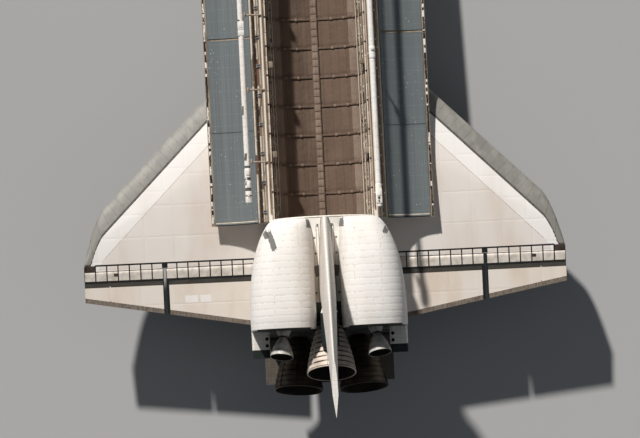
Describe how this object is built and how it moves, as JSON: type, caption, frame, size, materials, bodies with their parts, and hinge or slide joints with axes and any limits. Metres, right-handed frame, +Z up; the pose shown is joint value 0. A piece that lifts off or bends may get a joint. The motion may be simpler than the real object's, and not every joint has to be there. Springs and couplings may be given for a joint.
{
  "type": "space shuttle orbiter",
  "caption": "Winged spaceplane parked on its landing gear with its payload bay doors open, a robot arm and a sensor boom along the bay.",
  "frame": {"origin": "on the floor, under the middle of the whole part's box", "axes": "+X from nose to tail, +Y to starboard, +Z up; the airframe stands 4 degrees nose-down on its gear"},
  "size_m": [36.2866, 23.7916, 17.2679],
  "materials": {
    "hull_tile": "silica tiles and quilted fabric blankets, warm off-white above and black below",
    "white_tile": "white silica tiles and blankets, matte",
    "black_tile": "black glazed silica tiles, satin",
    "carbon": "coated carbon panels, grey, satin",
    "window_glass": "dark window glass, polished",
    "cabin_panel": "grey painted panels",
    "door_panel": "white blankets over a composite door",
    "radiator_metal": "silvered radiator skin, blue-grey with fine lengthwise lines",
    "engine_metal": "heat-darkened nozzle with hoops",
    "nozzle_metal": "light grey coated nozzle",
    "bracket_metal": "bare and painted aluminium fittings",
    "arm_wrap": "white thermal blanket over a tube",
    "bay_wrap": "white thermal blanket over a shell",
    "gear_steel": "white painted steel",
    "tyre_rubber": "black tyre on a white wheel"
  },
  "bodies": {
    "airframe": {"nose_cap": "carbon", "forward_fuselage": "hull_tile", "cabin_glazing": "window_glass", "flight_deck": "cabin_panel", "mid_fuselage": "hull_tile", "aft_fuselage": "hull_tile", "wing_port": "hull_tile", "wing_starboard": "hull_tile", "wing_edge_port": "carbon", "wing_edge_starboard": "carbon", "main_engine_upper": "engine_metal", "main_engine_port": "engine_metal", "main_engine_starboard": "engine_metal", "pod_port": "white_tile", "pod_starboard": "white_tile", "pod_nozzle_port": "nozzle_metal", "pod_nozzle_starboard": "nozzle_metal", "fin": "white_tile", "chute_housing": "white_tile", "airlock": "bay_wrap", "docking_ring": "bracket_metal", "dish_antenna": "bracket_metal", "main_leg_port": "gear_steel", "main_leg_starboard": "gear_steel", "main_gear_door_port": "black_tile", "main_gear_door_starboard": "black_tile", "nose_leg": "gear_steel", "nose_gear_door_port": "black_tile", "nose_gear_door_starboard": "black_tile"},
    "port_door": {"bay_door_port": "door_panel", "radiator_forward_port": "radiator_metal", "radiator_aft_port": "radiator_metal"},
    "starboard_door": {"bay_door_starboard": "door_panel", "radiator_forward_starboard": "radiator_metal", "radiator_aft_starboard": "radiator_metal"},
    "arm_cradle": {"arm_pedestals": "bracket_metal"},
    "shoulder": {"arm_shoulder": "arm_wrap"},
    "upper_arm": {"upper_arm": "arm_wrap"},
    "lower_arm": {"lower_arm": "arm_wrap"},
    "boom_cradle": {"boom_pedestals": "bracket_metal", "sensor_boom": "arm_wrap"},
    "nose_fork": {"nose_fork": "gear_steel"},
    "nose_wheels": {"nose_wheels": "tyre_rubber"},
    "main_wheels_port": {"main_wheels_port": "tyre_rubber"},
    "main_wheels_starboard": {"main_wheels_starboard": "tyre_rubber"},
    "elevon_inboard_port": {"elevon_inboard_port": "white_tile"},
    "elevon_outboard_port": {"elevon_outboard_port": "white_tile"},
    "elevon_inboard_starboard": {"elevon_inboard_starboard": "white_tile"},
    "elevon_outboard_starboard": {"elevon_outboard_starboard": "white_tile"},
    "body_flap": {"body_flap": "black_tile"},
    "rudder_port": {"rudder_port": "white_tile"},
    "rudder_starboard": {"rudder_starboard": "white_tile"},
    "side_hatch": {"side_hatch": "black_tile"}
  },
  "joints": [
    {"name": "door_port", "type": "hinge", "parent": "airframe", "child": "port_door", "pos_m": [-0.3241, -2.667, 5.6976], "axis": [0.9976, 0, 0.0698], "range_deg": [-175.5, 0]},
    {"name": "door_starboard", "type": "hinge", "parent": "airframe", "child": "starboard_door", "pos_m": [-0.3241, 2.667, 5.6976], "axis": [-0.9976, 0, -0.0698], "range_deg": [-175.5, 0]},
    {"name": "arm_roll", "type": "hinge", "parent": "airframe", "child": "arm_cradle", "pos_m": [0.4335, -2.5527, 5.7869], "axis": [0.9976, 0, 0.0698], "range_deg": [-107, 0]},
    {"name": "boom_roll", "type": "hinge", "parent": "airframe", "child": "boom_cradle", "pos_m": [0.4335, 2.5527, 5.7869], "axis": [-0.9976, 0, -0.0698], "range_deg": [-35, 0]},
    {"name": "arm_yaw", "type": "hinge", "parent": "arm_cradle", "child": "shoulder", "pos_m": [-7.0698, -3.621, 5.4899], "axis": [0.0698, 0, -0.9976], "range_deg": [0, 180]},
    {"name": "arm_pitch", "type": "hinge", "parent": "shoulder", "child": "upper_arm", "pos_m": [-7.0698, -3.621, 5.4899], "axis": [0, -1, 0], "range_deg": [0, 145]},
    {"name": "arm_elbow", "type": "hinge", "parent": "upper_arm", "child": "lower_arm", "pos_m": [-0.687, -3.621, 5.7886], "axis": [0, -1, 0], "range_deg": [-160, 0]},
    {"name": "nose_steering", "type": "hinge", "parent": "airframe", "child": "nose_fork", "pos_m": [-14.4038, 0, 0.5882], "axis": [-0.0698, 0, 0.9976], "range_deg": [-10, 10]},
    {"name": "nose_axle", "type": "hinge", "parent": "nose_fork", "child": "nose_wheels", "pos_m": [-14.3911, 0, 0.4064], "axis": [0, 1, 0], "continuous": true},
    {"name": "main_axle_port", "type": "hinge", "parent": "airframe", "child": "main_wheels_port", "pos_m": [5.8401, -3.4544, 0.5651], "axis": [0, 1, 0], "continuous": true},
    {"name": "main_axle_starboard", "type": "hinge", "parent": "airframe", "child": "main_wheels_starboard", "pos_m": [5.8401, 3.4544, 0.5651], "axis": [0, 1, 0], "continuous": true},
    {"name": "elevon_inboard_port", "type": "hinge", "parent": "airframe", "child": "elevon_inboard_port", "pos_m": [11.0887, -5.3848, 3.4286], "axis": [0.0043, 0.9981, -0.0609], "range_deg": [-36.5, 21.5]},
    {"name": "elevon_outboard_port", "type": "hinge", "parent": "airframe", "child": "elevon_outboard_port", "pos_m": [11.0694, -9.906, 3.7044], "axis": [0.0043, 0.9981, -0.0609], "range_deg": [-36.5, 21.5]},
    {"name": "elevon_inboard_starboard", "type": "hinge", "parent": "airframe", "child": "elevon_inboard_starboard", "pos_m": [11.0887, 5.3848, 3.4286], "axis": [-0.0043, 0.9981, 0.0609], "range_deg": [-36.5, 21.5]},
    {"name": "elevon_outboard_starboard", "type": "hinge", "parent": "airframe", "child": "elevon_outboard_starboard", "pos_m": [11.0694, 9.906, 3.7044], "axis": [-0.0043, 0.9981, 0.0609], "range_deg": [-36.5, 21.5]},
    {"name": "body_flap_hinge", "type": "hinge", "parent": "airframe", "child": "body_flap", "pos_m": [14.8215, 0, 3.5739], "axis": [0, 1, 0], "range_deg": [-11.7, 22.55]},
    {"name": "rudder_port_hinge", "type": "hinge", "parent": "airframe", "child": "rudder_port", "pos_m": [13.5278, -0.327, 11.3003], "axis": [-0.5123, -0.0273, -0.8584], "range_deg": [0, 49.3]},
    {"name": "rudder_starboard_hinge", "type": "hinge", "parent": "airframe", "child": "rudder_starboard", "pos_m": [13.5278, 0.327, 11.3003], "axis": [0.5123, -0.0273, 0.8584], "range_deg": [0, 49.3]},
    {"name": "hatch_hinge", "type": "hinge", "parent": "airframe", "child": "side_hatch", "pos_m": [-11.36661, -2.58826, 3.39767], "axis": [0.9976, 0, 0.0698], "range_deg": [0, 90]}
  ],
  "couplings": [
    {"joint": "arm_roll", "follows": "door_port", "ratio": 0.6096},
    {"joint": "boom_roll", "follows": "door_starboard", "ratio": 0.1994},
    {"joint": "arm_elbow", "follows": "arm_pitch", "ratio": -1.1}
  ]
}
